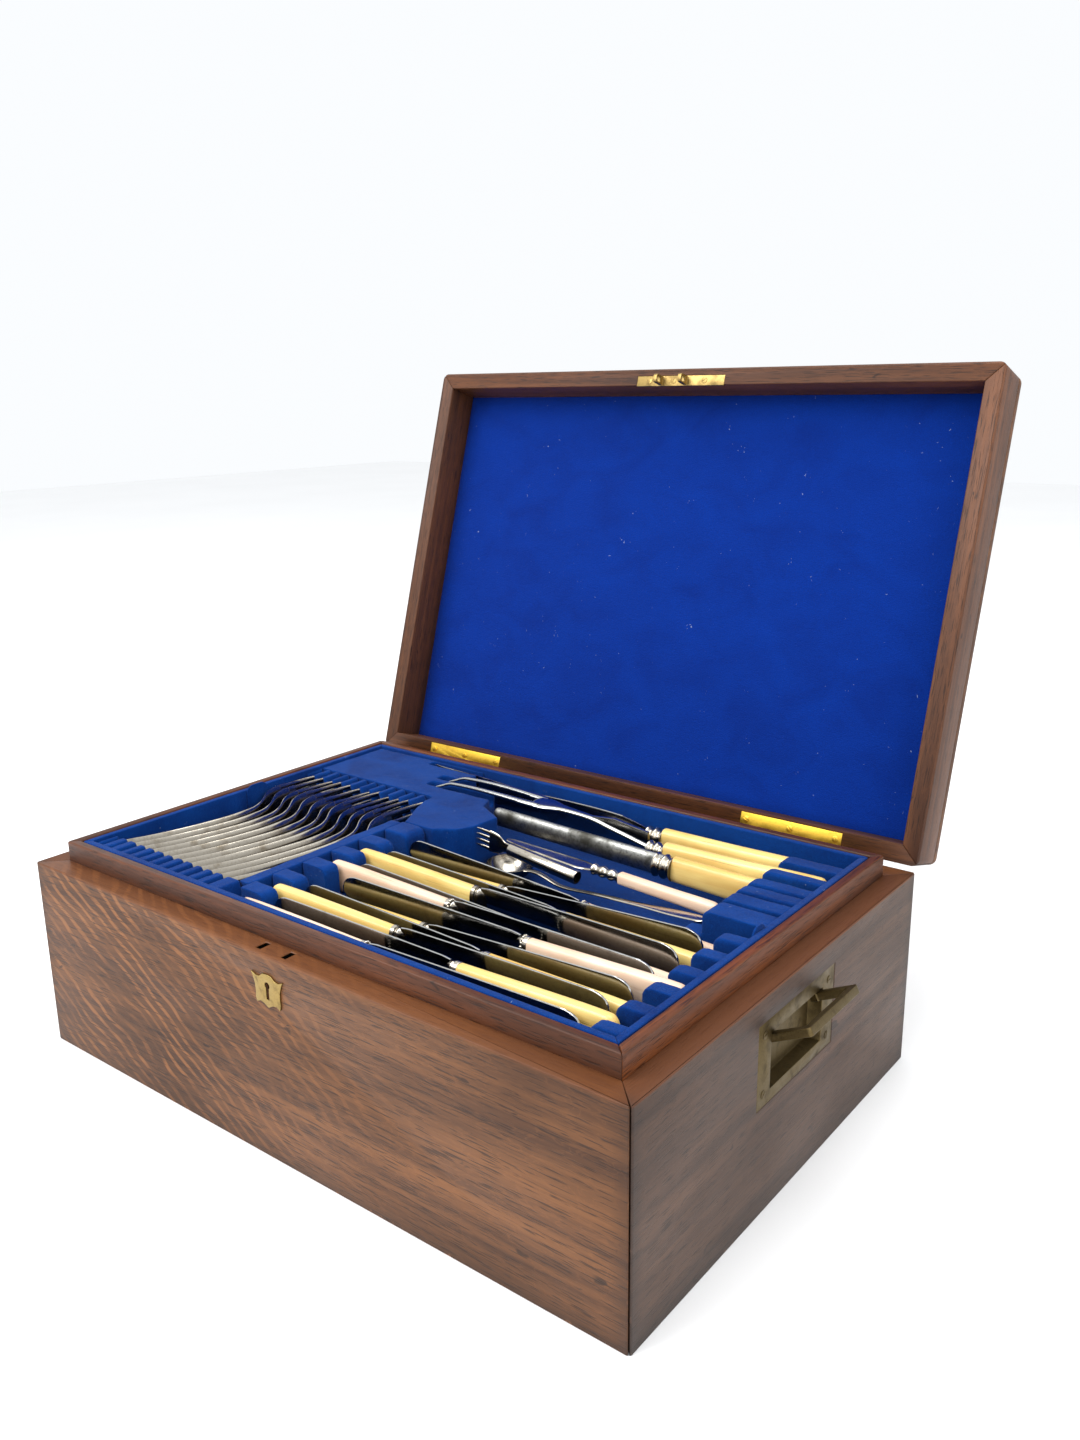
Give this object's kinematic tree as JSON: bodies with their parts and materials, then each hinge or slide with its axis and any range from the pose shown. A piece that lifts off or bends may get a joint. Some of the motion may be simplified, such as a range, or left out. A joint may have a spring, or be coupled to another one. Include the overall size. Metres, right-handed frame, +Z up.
{
  "type": "silverware chest",
  "caption": "Oak canteen of cutlery: hinged felt-lined lid, lock, flush end handles and a lift-out baize tray of racks holding forks, knives and a carving set.",
  "frame": {"origin": "middle of the chest's flat underside, at the bottom centre of the box without lid, handles or hinges", "axes": "+X to the right seen from the keyhole side, +Y towards the hinges, +Z up; the lid stands open and the right-hand bail is raised at rest"},
  "size_m": [0.5023, 0.4587, 0.4466],
  "materials": {
    "oak": "waxed, worn",
    "lid_oak": "dark polished",
    "dark_oak": "dark, worn",
    "blue_felt": "matte pile",
    "tray_baize": "matte pile",
    "hinge_brass": "bright",
    "aged_brass": "tarnished",
    "blade_steel": "polished",
    "silver_plate": "polished",
    "yellow_handle": "satin, fine grain",
    "pale_handle": "satin"
  },
  "bodies": {
    "case": {"back_board": "oak", "back_lining": "dark_oak", "base_board": "oak", "escutcheon": "aged_brass", "front_board": "oak", "front_lining": "dark_oak", "handle_cup_left": "aged_brass", "handle_cup_right": "aged_brass", "handle_screws": "aged_brass", "hinge_case_leaf_left": "hinge_brass", "hinge_case_leaf_right": "hinge_brass", "hinge_case_screws": "hinge_brass", "hinge_pins": "hinge_brass", "left_board": "oak", "left_lining": "dark_oak", "lock_case": "aged_brass", "right_board": "oak", "right_lining": "dark_oak", "tray_bearers": "dark_oak", "well_felt": "blue_felt"},
    "lid": {"hinge_lid_leaf_left": "hinge_brass", "hinge_lid_leaf_right": "hinge_brass", "hinge_lid_screws": "hinge_brass", "lid_back_rail": "lid_oak", "lid_felt": "blue_felt", "lid_front_rail": "lid_oak", "lid_left_rail": "lid_oak", "lid_right_rail": "lid_oak", "lid_top_board": "lid_oak", "link_plate": "aged_brass", "link_plate_screws": "aged_brass"},
    "tray": {"carving_fork": "blade_steel", "carving_handles": "yellow_handle", "carving_knife": "blade_steel", "carving_ribs": "tray_baize", "fork_comb": "tray_baize", "fork_head_ribs": "tray_baize", "fork_knife_divider": "tray_baize", "knife_blades": "blade_steel", "knife_handles_pale": "pale_handle", "knife_handles_yellow": "yellow_handle", "knife_ribs_left": "tray_baize", "knife_ribs_right": "tray_baize", "lifting_tabs": "tray_baize", "plateau": "tray_baize", "server_blade": "silver_plate", "server_handle": "yellow_handle", "serving_spoon": "silver_plate", "sharpening_steel": "blade_steel", "table_forks": "silver_plate", "tray_back_wall": "tray_baize", "tray_base": "tray_baize", "tray_front_wall": "tray_baize", "tray_left_wall": "tray_baize", "tray_right_wall": "tray_baize", "tube_fork": "silver_plate"},
    "lock_bolt": {"lock_bolt": "blade_steel"},
    "bail_right": {"bail_right": "aged_brass"},
    "bail_left": {"bail_left": "aged_brass"}
  },
  "joints": [
    {"name": "lid_hinge", "type": "hinge", "parent": "case", "child": "lid", "pos_m": [0, 0.16535, 0.1322], "axis": [-1, 0, 0], "range_deg": [-106.7, 0]},
    {"name": "tray_lift", "type": "slide", "parent": "case", "child": "tray", "axis": [0, 0, 1], "range_m": [0, 0.15]},
    {"name": "bolt_throw", "type": "slide", "parent": "case", "child": "lock_bolt", "axis": [1, 0, 0], "range_m": [0, 0.006]},
    {"name": "bail_right_pivot", "type": "hinge", "parent": "case", "child": "bail_right", "pos_m": [0.2366, 0, 0.1023], "axis": [0, -1, 0], "range_deg": [-116, 0]},
    {"name": "bail_left_pivot", "type": "hinge", "parent": "case", "child": "bail_left", "pos_m": [-0.2366, 0, 0.1023], "axis": [0, 1, 0], "range_deg": [0, 116]}
  ]
}
